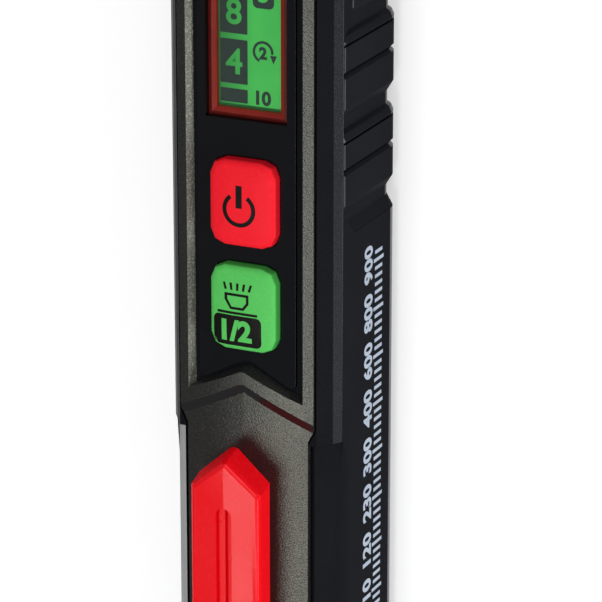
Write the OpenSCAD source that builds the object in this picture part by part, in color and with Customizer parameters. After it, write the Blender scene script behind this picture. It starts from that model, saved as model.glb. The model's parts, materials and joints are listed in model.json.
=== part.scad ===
// Pen type voltage tester that lies on its back.
// X runs across the body, Y towards the probe tip and Z up through the display.
// The origin is under the middle of the overall box, on the flat back.

/* [Body] */
// Overall length, tail cap to probe tip
total_len = 160; // [156:1:195]
// Width across the flat sides
body_w = 25; // [24:0.5:32]
// Height of the body, back to the middle of the crowned front
body_h = 24; // [23:0.5:30]
// Radius of the crowned front
crown_r = 37; // [30:1:60]
// Radius of the rounded back edges
back_r = 3.5; // [2:0.25:4.5]
// Length of the tail cap that shows
cap_len = 10; // [8:0.5:14]
// Length of the tapered nose housing
nose_len = 10; // [8:0.5:14]
// Length of the light ring, cone and probe in front of the nose housing
probe_len = 18; // [16:0.5:26]
// Wall of the shell beside the circuit board
shell_wall = 2.2; // [1.8:0.1:3]
// Wall of the shell under the circuit board and cells
floor_t = 2; // [1.5:0.1:3]

/* [Shell edges] */
// Width of the shell edge that shows beside the display rims
upper_edge = 2.6; // [2.4:0.05:3.5]
// Width of the shell edge that shows beside the lower deck
lower_edge = 3.53; // [3:0.01:4.2]
// Width of the steep bevel beside the display rims
upper_bevel_w = 1.47; // [1.2:0.01:2]
// Height of the steep bevel beside the display rims
upper_bevel_h = 2.1; // [1.8:0.05:3]
// Height of the speckled strip between the steep bevel and the side
strip_h = 1.15; // [0.3:0.05:1.4]
// Height of the wide bevel beside the lower deck
lower_bevel_h = 4.95; // [3.6:0.05:6]
// Width of the wide bevel's upper facet
lower_facet_w = 2.4; // [1.8:0.05:2.8]
// Height of the wide bevel's upper facet
lower_facet_h = 2.85; // [1.5:0.05:3.4]
// How far the shell edge lies below the rims of the cover
upper_edge_drop = 0.3; // [0.1:0.05:0.6]
// How far the shell edge lies below the edge of the deck
lower_edge_drop = 0.65; // [0.2:0.05:0.9]
// Reveal groove between cover and shell beside the rims
upper_reveal = 0.3; // [0.2:0.05:0.5]
// Reveal groove between cover and shell beside the lower deck
lower_reveal = 0.7; // [0.2:0.05:0.9]
// Depth of the reveal groove
reveal_d = 0.55; // [0.3:0.05:0.9]
// Where the steep bevel ends and the wide one begins
bevel_change_y = -24.7; // [-28:0.1:-23.5]
// Length over which the wide bevel grows to its full height
bevel_run = 5.5; // [3:0.5:8]
// Length over which the cover narrows beside the step
waist_run = 1.8; // [1:0.1:2.2]
// How far above the foot of the step the cover starts to narrow
waist_rise = 0.5; // [0:0.1:1]

/* [Front cover] */
// Width of the rim beside the display recess
rim_w = 1.4; // [0.8:0.05:2]
// Depth of the display recess below its side edges
recess_d = 1.05; // [0.8:0.05:1.6]
// How far the recess walls lean out
recess_lean = 0.67; // [0.3:0.01:1]
// How far the walls of the pointed recess end lean out
chevron_lean = 0.28; // [0.1:0.01:0.5]
// Angle of the pointed recess end and of the deck step
chevron_angle = 26; // [15:0.5:32]
// Rounding radius of the two chevrons on the cover
chevron_r = 1.6; // [0.5:0.1:3]
// Tip of the pointed recess end
recess_tip_y = -14.6; // [-16:0.05:-14.4]
// Top of the deck step, on the centre line
step_tip_y = -16.65; // [-19:0.05:-16.5]
// Drop from the display rims to the lower deck
step_drop = 0.5; // [0.3:0.05:0.8]
// Slope of the deck step, from level
step_slope = 22; // [15:0.5:35]
// Plain rim between the display recess and the nose
top_rim = 3; // [2:0.1:5]
// Cover thickness under the display panel
cover_floor = 1.15; // [0.8:0.05:1.6]

/* [Display] */
// Thickness of the glossy display panel
panel_t = 1.2; // [1.2:0.05:1.8]
// How far the panel stands above the recess floor
panel_proud = 0.4; // [0.2:0.05:0.6]
// Gap between the panel and the foot of the recess walls
panel_gap = 0.69; // [0.4:0.01:0.9]
// Radius of the panel's two lower corners
panel_corner_r = 0.8; // [0.4:0.05:1.2]
// Angle of the panel's notched lower end
panel_angle = 28.5; // [20:0.5:32]
// Rounding radius of the panel's notch
panel_notch_r = 1.8; // [0.5:0.1:3]
// Width of the display window
window_w = 11.7; // [10:0.1:12.5]
// Length of the display window
window_l = 24.6; // [20:0.1:26]
// Lower end of the display window
window_y = 19.6; // [18:0.1:20]
// Width of the red frame around the glass
frame_w = 1.2; // [0.8:0.05:1.4]
// Height of the bead on the red frame
frame_bead = 0.3; // [0.15:0.05:0.4]
// Thickness of the clear window
window_t = 0.5; // [0.4:0.05:0.55]
// Thickness of the liquid crystal glass
lcd_t = 2; // [1.6:0.1:2.2]
// Thickness of the backlight plate
backlight_t = 2; // [1.5:0.1:2.2]

/* [Buttons] */
// Width of each button
button_w = 9.7; // [8.5:0.1:11]
// Length of each button
button_l = 11.95; // [10:0.05:13]
// Height of each button above the panel
button_h = 1.7; // [1.4:0.1:2.6]
// Cut on the button's corners
button_corner = 2.1; // [1:0.1:3]
// Middle of the power button
power_y = 8.45; // [8:0.05:9]
// Middle of the light button
light_y = -6.15; // [-6.5:0.05:-5.8]
// Travel of a button
button_travel = 0.6; // [0.4:0.05:0.8]
// Width of the switch under each button
switch_w = 6; // [5:0.1:7]
// Height of the switch under each button
switch_h = 2.3; // [2:0.1:2.6]
// Diameter of the switch plunger
plunger_d = 3; // [2.5:0.1:3.5]

/* [Grips] */
// Lower end of the ribbed grips
grip_y = 3.8; // [3:0.1:6]
// Length of the ribbed grips
grip_len = 42; // [36:0.5:44]
// Height of the grip's front edge
grip_top = 19.05; // [18:0.05:19.4]
// Height of the grip's front edge past its jog
grip_jog_top = 16.6; // [14:0.1:18]
// Thickness of the grip's base
grip_base = 0.45; // [0.35:0.05:0.7]
// Height of the ribs above the base
rib_h = 0.85; // [0.5:0.05:1]
// Crest of one rib, from the middle of its pair
rib_w = 4.55; // [3.5:0.05:5]
// Distance from one pair of ribs to the next
rib_pitch = 13.2; // [12:0.1:14]
// Middle of the lowest pair of ribs
rib_first_y = 12.9; // [12.5:0.05:14]
// Depth of the notch between the two ribs of a pair
rib_notch = 0.45; // [0.2:0.05:0.6]
// How far the ribs stop short of the grip's edge
rib_inset = 0.35; // [0.2:0.05:0.6]
// Number of rib pairs
rib_pairs = 3; // [2:1:3]
// How far the grips wrap onto the flat back
grip_wrap = 5.5; // [4:0.25:7]

/* [Nose] */
// Width of the nose housing at its front face
nose_w = 17; // [15:0.5:20]
// Diameter of the light ring
ring_d = 13; // [11:0.25:14]
// Length of the light ring
ring_l = 3.5; // [2.5:0.25:5]
// Diameter of the probe where it leaves its cone
probe_d = 6.4; // [5:0.1:8]
// Length of the bare probe
probe_l = 7; // [5:0.5:10]
// Diameter of the torch lens
torch_d = 5.4; // [4.5:0.1:6]
// Height of the torch axis
torch_z = 4.6; // [4.4:0.1:5]
// Diameter of the antenna wire in the probe
antenna_d = 2.4; // [1.5:0.1:2.6]

/* [Cells and board] */
// Diameter of one AAA cell
cell_d = 10.5; // [10.4:0.1:10.6]
// Length of one AAA cell
cell_l = 44.5; // [44:0.1:44.6]
// Thickness of the circuit board
board_t = 1.6; // [0.8:0.1:1.8]
// Width of the circuit board
board_w = 18.4; // [17:0.1:20]
// Depth of the tongues that hold the tail cap
tongue_l = 6; // [5:0.5:8]
// Thickness of the tongues that hold the tail cap
tongue_t = 1.2; // [1:0.05:1.5]

/* [Pocket clip] */
// Width of the clip
clip_w = 10.4; // [9:0.1:12]
// Height of the clip's ridge above the crowned front
clip_rise = 6; // [5:0.1:8]
// Depth of the clip's bar, ridge to underside
clip_t = 3.6; // [3:0.1:4]
// Slope of the clip's two facets
clip_slope = 4; // [2:0.5:15]
// Tip of the clip's pointed end
clip_tip_y = -24.5; // [-26:0.1:-24.2]
// Angle of the clip's pointed end
clip_point = 42; // [30:1:50]
// Rounding radius of the pointed end
clip_point_r = 1.2; // [0.5:0.1:2]
// Rounding radius of the clip's long edges
clip_edge_r = 0.8; // [0.3:0.05:1.2]
// Width of the grooved channel along the ridge
channel_w = 2.35; // [1.5:0.05:3]
// Depth of the grooved channel below the ridge
channel_d = 0.9; // [0.5:0.05:1.2]
// Height of the fine rib in the channel
channel_rib_h = 0.65; // [0.2:0.05:0.85]

/* [Fits] */
// Clearance of seated parts
fit = 0.05; // [0.02:0.01:0.1]
// Clearance of sliding parts
slide_fit = 0.15; // [0.1:0.01:0.25]
// Clearance beside the cells
cell_gap = 0.3; // [0.2:0.05:0.5]
// Clearance of a round plunger in its switch
plunger_fit = 0.08; // [0.05:0.01:0.1]

/* [Hidden] */
$fn = 48;
half_w = body_w / 2;
front_y = total_len / 2;
tail_y = -total_len / 2;
body_y0 = tail_y + cap_len;
nose_y = front_y - probe_len;
body_y1 = nose_y - nose_len;
big = 4 * total_len;
eps = 0.01;

cover_half = half_w - upper_edge;
deck_half = half_w - lower_edge;
recess_half = cover_half - rim_w;
rim_z = body_h - crown_drop(recess_half);
recess_floor_z = rim_z - recess_d;
floor_half = recess_half - recess_lean;
panel_half = floor_half - panel_gap;
panel_z = recess_floor_z + panel_proud;
panel_base_z = panel_z - panel_t;
seat_z = panel_base_z - cover_floor;
recess_end_y = body_y1 - top_rim;
panel_tip_y = recess_tip_y + chevron_lean + panel_gap;

upper_edge_z = body_h - crown_drop(cover_half) - upper_edge_drop;
side_z = upper_edge_z - upper_bevel_h - strip_h;
lower_edge_z = body_h - step_drop - crown_drop(deck_half) - lower_edge_drop;
lower_side_z = lower_edge_z - lower_bevel_h;
step_run = step_drop / tan(step_slope);
step_side_y = step_tip_y - cover_half * tan(chevron_angle) - step_run / cos(chevron_angle);
waist_y = step_side_y + waist_rise;

probe_z = torch_z + torch_d / 2 + 0.4 + ring_d / 2;
nose_top_z = probe_z + ring_d / 2 + 0.9;

cavity_half = half_w - shell_wall;
ledge_half = cover_half - 1.6;
ledge_z = seat_z - 2.4;
cell_x = cell_d / 2 + 0.1;
bay_half = cell_x + cell_d / 2 + cell_gap;
bay_top_z = floor_t + 2 * tongue_t + 2 * slide_fit + cell_d + 1.4;
bay_y1 = body_y0 - 4 + cell_l;
cell_z = (floor_t + bay_top_z) / 2;
cell_y0 = body_y0 - 4;
wall_y0 = cell_y0 + cell_l + 2.4;
wall_t = 1.6;

board_top_z = seat_z - 4.4;
board_y0 = wall_y0 + wall_t + 0.6;
board_y1 = body_y1 - 2;
flange_t = 0.85;
flange_w = 0.9;
flange_base_z = seat_z - fit - flange_t;
switch_top_z = board_top_z + switch_h;

grip_floor = grip_base + rib_h;
grip_y1 = grip_y + grip_len;
grip_jog_y = rib_first_y + rib_pitch + rib_w + 0.65;
grip_foot_rise = 3.4;

clip_ridge_z = body_h + clip_rise;
clip_half = clip_w / 2;
clip_base_z = clip_ridge_z - clip_t;
clip_y0 = body_y0 + 1.5;
clip_bend_y = clip_y0 + 8;
foot_half = 3;
foot_l = 5;

post_d = 5;
screw_d = 2;
screw_head_d = 3.8;
screw_head_h = 1.6;
screw_head_depth = 2.4;
post_split_z = 7;
front_post_y = board_y1 - 2.6;
rear_post_y = board_y0 + 3.4;

// Drop of the crowned front at a distance from the centre line
function crown_drop(x) = crown_r - sqrt(crown_r * crown_r - x * x);

// A flat outline given as (x, z), run along Y
module along_y(y0, y1) {
    translate([0, y1, 0]) rotate([90, 0, 0]) linear_extrude(y1 - y0) children();
}

// A flat outline given as (y, z), run along X
module along_x(x0, x1) {
    translate([x0, 0, 0]) rotate([90, 0, 90]) linear_extrude(x1 - x0) children();
}

// A flat outline given as (x, y), run along Z
module along_z(z0, z1) {
    translate([0, 0, z0]) linear_extrude(z1 - z0) children();
}

module block(x0, x1, y0, y1, z0, z1) {
    translate([x0, y0, z0]) cube([x1 - x0, y1 - y0, z1 - z0]);
}

module mirror_x() {
    children();
    mirror([1, 0, 0]) children();
}

// Round bar or bore along Y
module rod_y(x, z, d, y0, y1, d_end = 0) {
    translate([x, y0, z]) rotate([-90, 0, 0])
        cylinder(d1 = d, d2 = d_end > 0 ? d_end : d, h = y1 - y0);
}

// Everything on the tip side of one leaning plane through (0, y, z)
module leaning_half(y, z, turn, lean) {
    translate([0, y, z]) rotate([0, 0, turn]) rotate([lean, 0, 0])
        translate([-big / 2, 0, -big / 2]) cube(big);
}

// Angles of the planes that make a rounded chevron
function chevron_turns() = [for (i = [-2:2]) i * chevron_angle / 2];

// Where the plane at an angle crosses the centre line, for a chevron whose limbs meet at y
function chevron_y(y, turn) = y - chevron_r / cos(chevron_angle) + chevron_r / cos(turn);

// Both limbs of a chevron and its rounding, with their planes leaning by an angle
module chevron_half(y, z, lean) {
    for (turn = chevron_turns()) leaning_half(chevron_y(y, turn), z, turn, lean);
}

// Everything under the step's ramps, which keep the front's crown as they fall
module step_ramps() {
    fall = tan(step_slope);
    for (turn = chevron_turns()) {
        shift = crown_r * sin(atan(fall * sin(turn)));
        translate([0, chevron_y(step_tip_y, turn), body_h]) rotate([atan(fall * cos(turn)), 0, 0])
            translate([-shift, 0, -sqrt(crown_r * crown_r - shift * shift)]) rotate([90, 0, 0])
                cylinder(r = crown_r, h = total_len, center = true, $fn = 180);
    }
}

// Back, sides and round back edges, set in by an amount
module side_outline(inset, top) {
    r = back_r - inset;
    polygon(concat(
        [[-half_w + inset, top], [half_w - inset, top]],
        [for (i = [0:6]) let (a = -15 * i) [half_w - back_r + r * cos(a), back_r + r * sin(a)]],
        [for (i = [0:6]) let (a = -90 - 15 * i) [back_r - half_w + r * cos(a), back_r + r * sin(a)]]));
}

// Outer outline of the shell, exact round back edges
module shell_outline(edge_half, edge_z, bevel_w, bevel_z, edge_top) {
    mirror_x() {
        translate([half_w - back_r, back_r]) circle(back_r);
        polygon([[0, 0], [half_w - back_r, 0], [half_w - back_r, back_r], [half_w, back_r],
                 [half_w, edge_top], [bevel_w, bevel_z], [edge_half, edge_z], [0, edge_z]]);
    }
}

module upper_outline() {
    edge = cover_half + upper_reveal;
    shell_outline(edge, upper_edge_z, edge + upper_bevel_w, upper_edge_z - upper_bevel_h, side_z);
}

module lower_outline() {
    edge = deck_half + lower_reveal;
    shell_outline(edge, lower_edge_z, edge + lower_facet_w, lower_edge_z - lower_facet_h, lower_side_z);
}

// Where the side stands higher just behind the steep bevel
module bevel_wedge() {
    x0 = deck_half + lower_reveal + lower_facet_w;
    z1 = lower_edge_z - lower_facet_h;
    mirror_x() hull() {
        along_y(bevel_change_y - eps, bevel_change_y)
            polygon([[x0 - 1, lower_side_z], [half_w, lower_side_z], [half_w, z1 - 0.2], [x0, z1], [x0 - 1, z1]]);
        along_y(bevel_change_y - bevel_run, bevel_change_y - bevel_run + eps)
            polygon([[x0 - 1, lower_side_z], [half_w, lower_side_z], [x0, z1], [x0 - 1, z1]]);
    }
}

// Seen from the front: the cover's edge, widened by an amount
module cover_plan(grow) {
    upper = cover_half + grow;
    lower = deck_half + grow;
    polygon([[-upper, body_y1 + grow], [upper, body_y1 + grow], [upper, waist_y],
             [lower, waist_y - waist_run], [lower, body_y0 - grow], [-lower, body_y0 - grow],
             [-lower, waist_y - waist_run], [-upper, waist_y]]);
}

// Reveal groove around the cover
module reveal_plan() {
    upper = cover_half + upper_reveal;
    lower = deck_half + lower_reveal;
    waist = deck_half + upper_reveal;
    polygon([[-upper, body_y1 + 1], [upper, body_y1 + 1], [upper, waist_y],
             [waist, waist_y - waist_run], [waist, bevel_change_y], [lower, bevel_change_y],
             [lower, body_y0 - 1], [-lower, body_y0 - 1], [-lower, bevel_change_y],
             [-waist, bevel_change_y], [-waist, waist_y - waist_run], [-upper, waist_y]]);
}

// Crowned solid between two heights of the front
module crowned(half, drop, y0, y1) {
    along_y(y0, y1) intersection() {
        translate([0, body_h - drop - crown_r]) circle(crown_r, $fn = 180);
        translate([-half, seat_z]) square([2 * half, body_h]);
    }
}

// Display recess with leaning walls and a pointed lower end
module recess_cut() {
    side_angle = atan(recess_lean / recess_d);
    point_angle = atan(chevron_lean / recess_d);
    intersection() {
        block(-half_w, half_w, recess_tip_y - 15, recess_end_y + 1, recess_floor_z, body_h + 5);
        translate([recess_half, 0, rim_z]) rotate([0, side_angle, 0])
            translate([-big, -big / 2, -big / 2]) cube(big);
        translate([-recess_half, 0, rim_z]) rotate([0, -side_angle, 0])
            translate([0, -big / 2, -big / 2]) cube(big);
        translate([0, recess_end_y, rim_z]) rotate([-side_angle, 0, 0])
            translate([-big / 2, -big, -big / 2]) cube(big);
        chevron_half(recess_tip_y, rim_z, point_angle);
    }
}

// Panel outline, set in by an amount, with round lower corners
module panel_plan(inset) {
    half = panel_half - inset;
    r = panel_corner_r;
    top = recess_end_y - recess_lean - panel_gap - inset;
    tip = panel_tip_y + inset / cos(panel_angle);
    corner_y = tip - tan(panel_angle) * (half - r) + r / cos(panel_angle);
    turn = (90 + panel_angle) / 8;
    arc = [for (i = [0:8]) [half - r + r * cos(i * turn), corner_y - r * sin(i * turn)]];
    notch_y = panel_tip_y - panel_notch_r / cos(panel_angle);
    notch = [for (i = [-3:3]) let (a = -i * panel_angle / 3)
             [(panel_notch_r + inset) * sin(a), notch_y + (panel_notch_r + inset) * cos(a)]];
    polygon(concat([[-half, top], [half, top]], arc, notch,
                   [for (i = [8:-1:0]) [-arc[i][0], arc[i][1]]]));
}

module button_plan(grow) {
    w = button_w / 2 + grow;
    l = button_l / 2 + grow;
    c = button_corner + grow * 0.4;
    polygon([[w, l - c], [w - c * 0.3, l - c * 0.3], [w - c, l], [c - w, l],
             [c * 0.3 - w, l - c * 0.3], [-w, l - c], [-w, c - l], [c * 0.3 - w, c * 0.3 - l],
             [c - w, -l], [w - c, -l], [w - c * 0.3, c * 0.3 - l], [w, c - l]]);
}

// Screw posts hang from the cover and stand on the floor
module post_places() {
    for (y = [front_post_y, rear_post_y]) translate([0, y, 0]) children();
}

module body_shell() {
    color("#25272b") difference() {
        union() {
            along_y(bevel_change_y, body_y1) upper_outline();
            along_y(body_y0, bevel_change_y + eps) lower_outline();
            bevel_wedge();
        }
        along_z(seat_z, body_h) cover_plan(fit);
        along_z(lower_edge_z - reveal_d, body_h) reveal_plan();
        block(-ledge_half, ledge_half, board_y0 - 0.6, body_y1 + 1, ledge_z - eps, seat_z + 1);
        difference() {
            block(-cavity_half, cavity_half, board_y0 - 0.6, body_y1 + 1, floor_t, ledge_z);
            post_places() translate([0, 0, floor_t - 1]) cylinder(d = post_d, h = post_split_z - floor_t + 1);
        }
        post_places() {
            translate([0, 0, -1]) cylinder(d = screw_head_d + 0.4, h = screw_head_depth + 1);
            cylinder(d = screw_d + 0.4, h = post_split_z + 1);
        }
        block(-bay_half, bay_half, body_y0 - 1, wall_y0, floor_t, bay_top_z);
        mirror_x() grip_recess(0);
    }
}

// Room for one grip in the side of the shell, or its outline less the fit
module grip_recess(gap) {
    intersection() {
        along_y(grip_y + gap, grip_y1 - gap) difference() {
            side_outline(-1, side_z + 1);
            side_outline(grip_floor - gap, side_z + 2);
        }
        along_x(half_w - back_r - grip_wrap + gap, half_w + 1) grip_side(gap);
    }
}

// The grip seen from the side: jog near the display, slanted foot
module grip_side(gap) {
    low = grip_top - 3.85 - gap;
    high = grip_top - gap;
    polygon([[grip_y + gap, -1], [grip_y + gap, low], [grip_y + grip_foot_rise + gap, high],
             [grip_jog_y - gap, high], [grip_jog_y + 1.4 - gap, grip_jog_top - gap],
             [grip_y1 - 3 - gap, grip_jog_top - gap], [grip_y1 - gap, grip_jog_top - 3 - gap],
             [grip_y1 - gap, -1]]);
}

module outline_slice(y, inset) {
    along_y(y - eps, y + eps) side_outline(inset, grip_top + 0.5);
}

// Two ribs with a notch between them, each hulled from slices of the outline
module rib_pair(y) {
    hull() {
        outline_slice(y + 0.06, rib_notch);
        outline_slice(y + 0.5, 0);
        outline_slice(y + rib_w - 0.1, 0);
        outline_slice(y + rib_w + 0.6, rib_h * 0.35);
        outline_slice(y + rib_w + 0.95, rib_h);
    }
    hull() {
        outline_slice(y - rib_w - 1.4, rib_h);
        outline_slice(y - rib_w, 0);
        outline_slice(y - 0.5, 0);
        outline_slice(y - 0.06, rib_notch);
    }
}

// Fine groove across the upper rib of a pair
module rib_line(y) {
    along_y(y + rib_w - 0.75, y + rib_w - 0.4) difference() {
        side_outline(-1, side_z + 1);
        side_outline(0.35, side_z + 2);
    }
}

module grip() {
    ramp_l = 1.7;
    intersection() {
        grip_recess(fit);
        along_y(grip_y, grip_y1) side_outline(rib_h, side_z + 1);
    }
    intersection() {
        grip_recess(fit + rib_inset);
        difference() {
            union() {
                for (i = [0:rib_pairs - 1]) rib_pair(rib_first_y + i * rib_pitch);
            }
            for (i = [0:rib_pairs - 1]) rib_line(rib_first_y + i * rib_pitch);
        }
    }
    intersection() {
        grip_recess(fit);
        hull() {
            outline_slice(grip_y, 0);
            outline_slice(grip_y + ramp_l, rib_h - eps);
        }
    }
}

module right_grip() {
    color("#26272b") grip();
}

module left_grip() {
    color("#26272b") mirror([1, 0, 0]) grip();
}

module front_cover() {
    color("#5a5b54") difference() {
        union() {
            intersection() {
                crowned(cover_half, 0, step_side_y, body_y1);
                step_ramps();
                along_z(seat_z, body_h + 1) cover_plan(0);
            }
            intersection() {
                crowned(cover_half, step_drop, body_y0, step_tip_y + 1);
                along_z(seat_z, body_h) cover_plan(0);
            }
            post_places() translate([0, 0, post_split_z + 0.1]) cylinder(d = post_d, h = seat_z - post_split_z);
        }
        recess_cut();
        along_z(panel_base_z, body_h) panel_plan(-fit);
        for (y = [power_y, light_y]) translate([0, y, 0]) along_z(seat_z - 1, body_h) button_plan(slide_fit);
        window_block(fit, seat_z - 1, body_h);
        post_places() translate([0, 0, post_split_z]) cylinder(d = screw_d - 0.3, h = 8);
        block(-foot_half - fit, foot_half + fit, clip_y0 + 1 - fit, clip_y0 + 1 + foot_l + fit, seat_z - 1, body_h);
    }
}

module window_block(grow, z0, z1) {
    block(-window_w / 2 - grow, window_w / 2 + grow, window_y - grow, window_y + window_l + grow, z0, z1);
}

module display_panel() {
    color("#15161a") difference() {
        along_z(panel_base_z + fit, panel_z) panel_plan(0);
        for (y = [power_y, light_y]) translate([0, y, 0]) along_z(panel_base_z, body_h) button_plan(slide_fit);
        window_block(fit, panel_base_z - 1, body_h);
    }
}

module display_window() {
    color("#9fb0b4", 0.4) window_block(0, panel_z - window_t, panel_z - 0.02);
}

// Red frame with a bead: a low frustum less a flared opening
module display_frame() {
    z1 = panel_z - window_t - fit;
    z0 = panel_base_z - 0.35;
    zb = z1 - frame_bead;
    color("#8c1a18") difference() {
        frustum(window_w / 2, window_l / 2, z0, zb, z1, -frame_w / 2);
        frustum(window_w / 2 - frame_w, window_l / 2 - frame_w, z0 - 1, zb, z1 + eps, frame_w / 2);
    }
}

// Straight-sided window block whose top edges lean, out or in
module frustum(half_x, half_y, z0, zb, z1, lean) {
    mid_y = window_y + window_l / 2;
    intersection() {
        along_y(mid_y - half_y - 2, mid_y + half_y + 2) frustum_outline(0, half_x, z0, zb, z1, lean);
        along_x(-half_x - 2, half_x + 2) frustum_outline(mid_y, half_y, z0, zb, z1, lean);
    }
}

module frustum_outline(mid, half, z0, zb, z1, lean) {
    polygon([[mid - half, z0], [mid + half, z0], [mid + half, zb], [mid + half + lean, z1],
             [mid - half - lean, z1], [mid - half, zb]]);
}

lcd_top_z = panel_base_z - 0.35 - fit;

module lcd_module() {
    color("#3fae50") window_block(-0.2, lcd_top_z - lcd_t, lcd_top_z);
}

module backlight_plate() {
    z1 = lcd_top_z - lcd_t - fit;
    color("#e8f2e4") window_block(-0.2, z1 - backlight_t, z1);
}

// Rubber connector strips between the board and the glass
module lcd_connector() {
    z1 = lcd_top_z - lcd_t - fit - backlight_t - fit;
    color("#c8c8c0") for (y = [window_y + 1, window_y + window_l - 3])
        block(-window_w / 2 + 1, window_w / 2 - 1, y, y + 2, board_top_z + fit, z1);
}

module circuit_board() {
    color("#1f6b3a") difference() {
        block(-board_w / 2, board_w / 2, board_y0, board_y1, board_top_z - board_t, board_top_z);
        post_places() translate([0, 0, board_top_z - board_t - 1]) cylinder(d = post_d + 0.6, h = board_t + 2);
    }
}

// Button cap with a gently crowned top, and a flange that holds it in
module button() {
    edge = panel_z + button_h;
    hull() {
        along_z(flange_base_z, flange_base_z + flange_t) button_plan(0);
        button_slice(edge - 0.9, 0);
        button_slice(edge - 0.6, 0.12);
        button_slice(edge - 0.36, 0.4);
        button_slice(edge - 0.22, 0.8);
        button_slice(edge - 0.07, 2.2);
        button_slice(edge, 3.4);
    }
    along_z(flange_base_z, flange_base_z + flange_t)
        square([button_w + 2 * flange_w, button_l + 2 * flange_w], center = true);
}

module button_slice(z, inset) {
    along_z(z - eps, z) button_plan(-inset);
}

module power_button() {
    color("#e8222e") translate([0, power_y, 0]) button();
}

module light_button() {
    color("#5cc264") translate([0, light_y, 0]) button();
}

module tact_switch() {
    difference() {
        block(-switch_w / 2, switch_w / 2, -switch_w / 2, switch_w / 2, board_top_z, switch_top_z);
        translate([0, 0, switch_top_z - button_travel - 0.4]) cylinder(d = plunger_d + 2 * plunger_fit, h = 3);
    }
}

module power_switch() {
    color("#303236") translate([0, power_y, 0]) tact_switch();
}

module light_switch() {
    color("#303236") translate([0, light_y, 0]) tact_switch();
}

module plunger() {
    translate([0, 0, switch_top_z - 0.2]) cylinder(d = plunger_d, h = flange_base_z - switch_top_z + 0.2);
}

module power_plunger() {
    color("#d8d4c4") translate([0, power_y, 0]) plunger();
}

module light_plunger() {
    color("#d8d4c4") translate([0, light_y, 0]) plunger();
}

// Round sounder under the board
module buzzer() {
    color("#1c1c1e") difference() {
        translate([0, light_y, board_top_z - board_t - 5.5]) cylinder(d = 12, h = 5.5 - fit);
        translate([0, light_y, board_top_z - board_t - 7]) cylinder(d = 2.5, h = 3);
    }
}

module indicator_led() {
    color("#d9e2c8") block(-7, -4, board_y1 - 2, board_y1 - 0.4, board_top_z, board_top_z + 1.5);
}

// Shell outline with the crown over it
module crowned_outline(edge, bevel_half, bevel_z, edge_top, drop) {
    top = body_h - drop - crown_drop(edge);
    shell_outline(edge, top, bevel_half, bevel_z, edge_top);
    intersection() {
        translate([0, body_h - drop - crown_r]) circle(crown_r, $fn = 180);
        translate([-edge, top - 3]) square([2 * edge, 6]);
    }
}

// Nose housing: crowned outline cut to a taper in plan and in side view
module nose_housing() {
    front_half = nose_w / 2;
    plug = 1.5;
    edge = cover_half + upper_reveal;
    color("#25272b") difference() {
        union() {
            intersection() {
                along_y(body_y1, nose_y)
                    crowned_outline(edge, edge + upper_bevel_w, upper_edge_z - upper_bevel_h, side_z, 0);
                along_z(-1, body_h + 1) polygon([[-half_w, body_y1], [half_w, body_y1],
                    [half_w - 0.6, body_y1 + 3], [front_half, nose_y], [-front_half, nose_y],
                    [0.6 - half_w, body_y1 + 3]]);
                along_x(-half_w, half_w) polygon([[body_y1, 0], [body_y1, body_h],
                    [body_y1 + 3, body_h - 0.4], [nose_y, nose_top_z], [nose_y, 1.4], [body_y1 + 4, 0]]);
            }
            block(slide_fit - cavity_half, cavity_half - slide_fit, body_y1 - plug, body_y1 + eps,
                  floor_t + slide_fit, ledge_z - slide_fit);
        }
        block(3 - cavity_half, cavity_half - 3, body_y1 - plug - 1, body_y1 + 4, floor_t + 2, ledge_z - 2);
        rod_y(0, probe_z, ring_d - 2 + 2 * fit, body_y1 + 3, nose_y + 1);
        rod_y(0, probe_z, antenna_d + 1, body_y1 - plug - 1, body_y1 + 4);
        rod_y(0, torch_z, torch_d + 2 * fit, body_y1 + 1, nose_y + 1);
    }
}

// Clear ring that lights up, with a spigot in the nose
module indicator_ring() {
    color("#d8dde0", 0.8) difference() {
        union() {
            rod_y(0, probe_z, ring_d - 2, body_y1 + 5, nose_y + 1);
            rod_y(0, probe_z, ring_d, nose_y + fit, nose_y + ring_l);
        }
        rod_y(0, probe_z, probe_d + 2 * fit, body_y1 + 3, front_y);
    }
}

module nose_cone() {
    y0 = nose_y + ring_l + fit;
    color("#1d1e22") difference() {
        rod_y(0, probe_z, ring_d - 0.6, y0, front_y - probe_l, probe_d + 1.6);
        rod_y(0, probe_z, probe_d + 2 * fit, y0 - 1, front_y);
    }
}

// Hollow insulating probe with a rounded end
module probe_tip() {
    r = probe_d / 2;
    y0 = body_y1 + 5;
    l = front_y - y0;
    round_l = 3;
    color("#d9dadb") translate([0, y0, probe_z]) rotate([-90, 0, 0]) difference() {
        rotate_extrude() polygon(concat([[0, 0], [r, 0], [r, l - round_l]],
            [for (i = [1:8]) let (a = 90 * i / 8) [max(r * cos(a), 0), l - round_l + round_l * sin(a)]]));
        translate([0, 0, -1]) cylinder(d = 3, h = l - 3);
    }
}

module sensor_antenna() {
    color("#c9a24a") rod_y(0, probe_z, antenna_d, board_y1 + 0.3, front_y - 6);
}

module torch_lens() {
    color("#e8edf0", 0.6) difference() {
        rod_y(0, torch_z, torch_d, nose_y - 3, nose_y - 0.4);
        translate([0, nose_y - 3, torch_z]) sphere(d = torch_d - 1.6);
    }
}

module torch_led() {
    color("#f4f4ec") rod_y(0, torch_z, 3, nose_y - 8, nose_y - 5.4);
}

module cell() {
    nub_l = 0.9;
    rod_y(0, cell_z, cell_d, cell_y0 + nub_l, cell_y0 + cell_l);
    rod_y(0, cell_z, 3.8, cell_y0, cell_y0 + nub_l + eps);
}

module left_cell() {
    color("#2f5f9a") translate([-cell_x, 0, 0]) cell();
}

module right_cell() {
    mid = cell_y0 + cell_l / 2;
    color("#2f5f9a") translate([cell_x, 2 * mid, 0]) mirror([0, 1, 0]) cell();
}

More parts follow.
